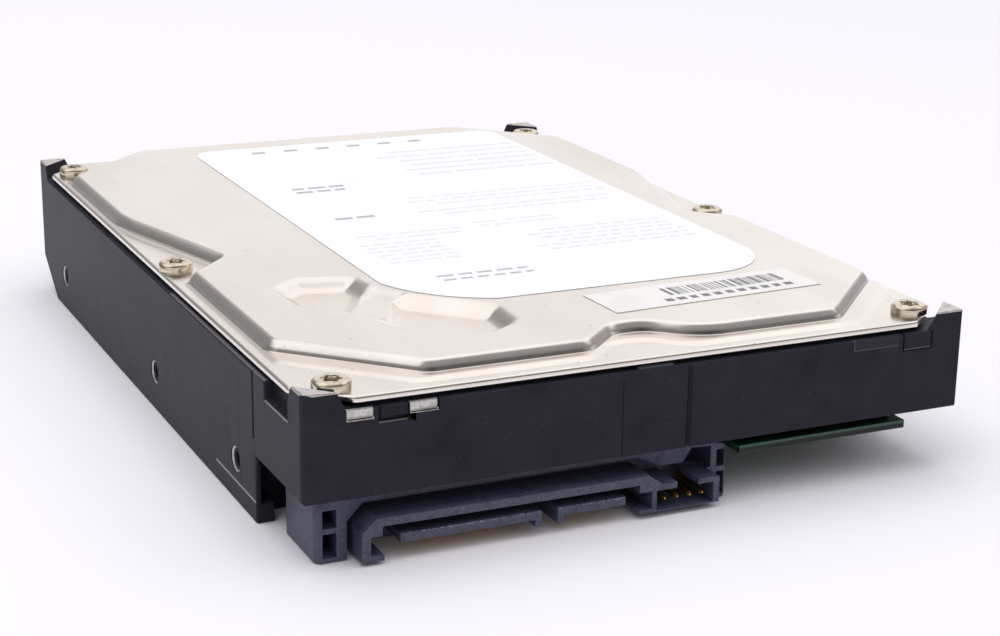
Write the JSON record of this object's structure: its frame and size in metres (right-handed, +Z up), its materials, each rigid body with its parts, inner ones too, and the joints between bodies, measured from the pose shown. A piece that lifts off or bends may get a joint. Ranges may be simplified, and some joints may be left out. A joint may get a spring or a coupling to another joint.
{
  "type": "hard disk drive",
  "caption": "Desktop hard disk drive: black cast case with corner posts, stamped steel cover, edge connector, circuit board, spinning platters and a swinging head arm.",
  "frame": {"origin": "under the middle of the drive, on the plane it rests on", "axes": "+Y from the connector end to the far end, +X to the right seen from the connector end, +Z up through the cover"},
  "size_m": [0.1016, 0.147, 0.0254],
  "materials": {
    "black_coat": "black electro-coat on die-cast aluminium",
    "cover_steel": "satin stamped stainless steel",
    "gasket_rubber": "moulded black rubber",
    "nickel_screws": "nickel-plated steel, warm tint",
    "label_paper": "white printed film",
    "small_label_paper": "off-white printed film",
    "board_laminate": "green solder mask on glass-fibre laminate",
    "grey_foam": "soft grey foam",
    "chip_epoxy": "black moulded epoxy",
    "component_ceramic": "tan ceramic with tinned ends",
    "connector_plastic": "slate-blue glass-filled plastic",
    "gold_plating": "gold-plated copper alloy",
    "bare_aluminium": "machined aluminium",
    "bronze": "sintered bronze",
    "motor_steel": "laminated electrical steel",
    "copper_wire": "enamelled copper wire",
    "flex_film": "amber polyimide film",
    "nickel_plate": "nickel-plated steel plate",
    "magnet_plate": "nickel-plated sintered magnet",
    "stop_rubber": "black rubber sleeve",
    "bearing_steel": "ground bearing steel",
    "filter_felt": "white filter felt",
    "filter_case": "white moulded plastic",
    "platter_mirror": "sputtered mirror film on aluminium",
    "slider_ceramic": "dark ceramic",
    "overmould_plastic": "black moulded plastic",
    "latch_plastic": "cream acetal"
  },
  "bodies": {
    "root": {"base_casting": "black_coat", "top_cover": "cover_steel", "cover_gasket": "gasket_rubber", "cover_screws": "nickel_screws", "cover_label": "label_paper", "barcode_label": "small_label_paper", "circuit_board": "board_laminate", "board_screws": "nickel_screws", "board_foam": "grey_foam", "controller_chip": "chip_epoxy", "motor_driver_chip": "chip_epoxy", "memory_chip": "chip_epoxy", "board_small_parts": "component_ceramic", "sata_housing": "connector_plastic", "power_contacts": "gold_plating", "signal_contacts": "gold_plating", "jumper_pins": "gold_plating", "head_connector": "connector_plastic", "motor_bracket": "bare_aluminium", "motor_screws": "nickel_screws", "bearing_sleeve": "bronze", "stator_core": "motor_steel", "stator_coils": "copper_wire", "motor_flex": "flex_film", "lower_yoke": "nickel_plate", "upper_yoke": "nickel_plate", "lower_magnet": "magnet_plate", "upper_magnet": "magnet_plate", "yoke_posts": "nickel_plate", "yoke_nuts": "nickel_screws", "crash_stops": "stop_rubber", "pivot_shaft": "bearing_steel", "pivot_screw": "nickel_screws", "bearing_inner_races": "bearing_steel", "bearing_balls": "bearing_steel", "flex_bracket": "connector_plastic", "flex_cable": "flex_film", "latch_pin": "bearing_steel", "recirculation_filter": "filter_felt", "breather_filter": "filter_case"},
    "spindle": {"spindle_hub": "bare_aluminium", "spindle_shaft": "bearing_steel", "rotor_magnet": "magnet_plate", "lower_platter": "platter_mirror", "upper_platter": "platter_mirror", "platter_spacer": "bare_aluminium", "disk_clamp": "nickel_plate", "clamp_screws": "nickel_screws"},
    "actuator": {"arm_block": "bare_aluminium", "pivot_sleeve": "bearing_steel", "bearing_outer_races": "bearing_steel", "load_beams": "cover_steel", "head_sliders": "slider_ceramic", "voice_coil": "copper_wire", "coil_overmould": "overmould_plastic", "preamp_board": "flex_film"},
    "latch": {"latch_lever": "latch_plastic"}
  },
  "joints": [
    {"name": "spindle_spin", "type": "hinge", "parent": "root", "child": "spindle", "pos_m": [0, 0.0225, 0.014], "axis": [0, 0, 1], "continuous": true},
    {"name": "actuator_swing", "type": "hinge", "parent": "root", "child": "actuator", "pos_m": [-0.024, -0.0314, 0.016], "axis": [0, 0, 1], "range_deg": [0, 28], "deforming": ["flex_cable"]},
    {"name": "latch_swing", "type": "hinge", "parent": "root", "child": "latch", "pos_m": [0.0062, -0.0645, 0.016], "axis": [0, 0, -1], "range_deg": [0, 3]}
  ]
}
